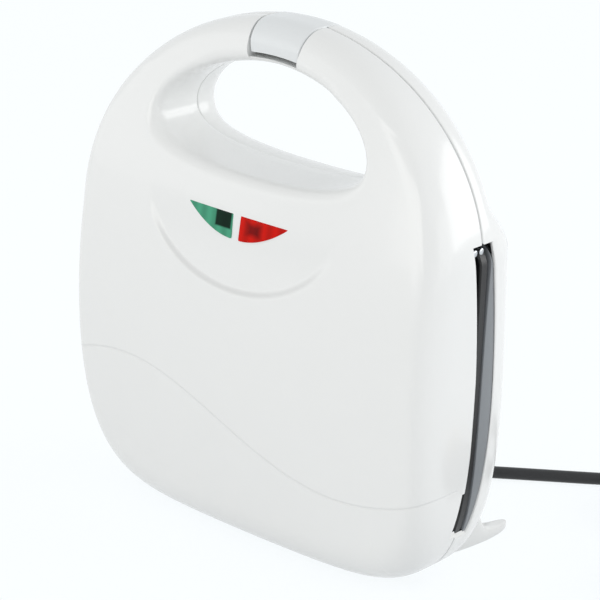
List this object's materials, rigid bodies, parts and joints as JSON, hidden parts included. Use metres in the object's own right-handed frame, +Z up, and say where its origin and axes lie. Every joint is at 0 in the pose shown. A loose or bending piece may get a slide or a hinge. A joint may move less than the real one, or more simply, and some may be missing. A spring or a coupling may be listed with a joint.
{
  "type": "sandwich toaster",
  "caption": "Clamshell sandwich toaster with hinged lid, handle opening, clip latch, non-stick plates and mains lead, standing on its hinge end.",
  "frame": {"origin": "on the supporting surface, under the middle of the toaster's bounding box, without the mains lead", "axes": "+X across the body to the right of someone facing the lid, +Y from the lid through to the base, +Z up from the hinge end to the handle"},
  "size_m": [0.3237, 0.2392, 0.2616],
  "materials": {
    "white_plastic": "gloss",
    "grey_plastic": "satin",
    "nonstick": "satin",
    "element_sheath": "matte",
    "reflector_sheet": "satin",
    "ceramic": "matte",
    "sleeve": "matte",
    "steel": "satin",
    "black_plastic": "satin",
    "black_rubber": "matte",
    "cord_pvc": "satin",
    "brass": "satin",
    "fuse_plastic": "satin",
    "green_lens": "gloss",
    "red_lens": "gloss",
    "natural_plastic": "satin",
    "lamp_glass": "gloss"
  },
  "bodies": {
    "base": {"base_shell": "white_plastic", "base_rim_frame": "grey_plastic", "lower_plate": "nonstick", "lower_element": "element_sheath", "lower_reflector": "reflector_sheet", "lower_plate_screws": "steel", "lower_side_screws": "steel", "lower_reflector_screws": "steel", "thermostat": "ceramic", "thermal_fuse": "sleeve", "terminal_block": "ceramic", "hinge_pins": "steel", "wire_conduit": "black_plastic", "rubber_feet": "black_rubber", "strain_relief": "black_rubber", "cord_clamp": "ceramic", "cord_clamp_screws": "steel", "cord_lead": "cord_pvc", "cord_coil": "cord_pvc", "cord_tail": "cord_pvc", "cord_tie": "black_plastic", "plug_body": "black_plastic", "plug_pins": "brass", "plug_fuse_cover": "fuse_plastic"},
    "lid": {"lid_shell": "white_plastic", "upper_plate": "nonstick", "upper_element": "element_sheath", "upper_reflector": "reflector_sheet", "upper_plate_screws": "steel", "upper_side_screws": "steel", "upper_reflector_screws": "steel", "green_lens": "green_lens", "red_lens": "red_lens", "lamp_holder": "natural_plastic", "power_lamp": "lamp_glass", "ready_lamp": "lamp_glass", "latch_pin": "steel"},
    "latch": {"latch": "white_plastic"}
  },
  "joints": [
    {"name": "lid_hinge", "type": "hinge", "parent": "base", "child": "lid", "pos_m": [0, -0.016, 0.007], "axis": [1, 0, 0], "range_deg": [0, 105]},
    {"name": "latch_pivot", "type": "hinge", "parent": "lid", "child": "latch", "pos_m": [0, -0.02778, 0.2486], "axis": [1, 0, 0], "range_deg": [0, 15]}
  ]
}
